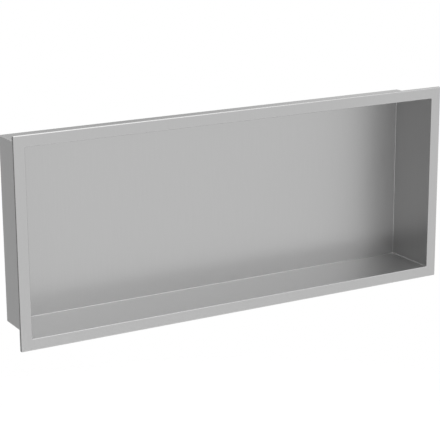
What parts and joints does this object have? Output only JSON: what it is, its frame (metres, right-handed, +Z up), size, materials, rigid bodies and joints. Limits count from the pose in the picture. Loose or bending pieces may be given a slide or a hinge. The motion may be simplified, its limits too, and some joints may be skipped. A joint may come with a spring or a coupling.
{
  "type": "shower niche insert",
  "caption": "Wide, shallow recessed wall niche folded from brushed stainless sheet, open at the front, with a narrow lipped flange round its mouth that covers the edge of the tiles.",
  "frame": {"origin": "middle of the mouth, in the plane of the finished wall that the lip of the flange beds on", "axes": "+X along the width, to the right for someone facing the niche; +Y into the wall; +Z up"},
  "size_m": [0.788, 0.1008, 0.338],
  "materials": {
    "brushed_stainless": "satin brushed stainless steel with a fine upright grain"
  },
  "bodies": {
    "root": {"niche_body": "brushed_stainless"}
  },
  "joints": []
}
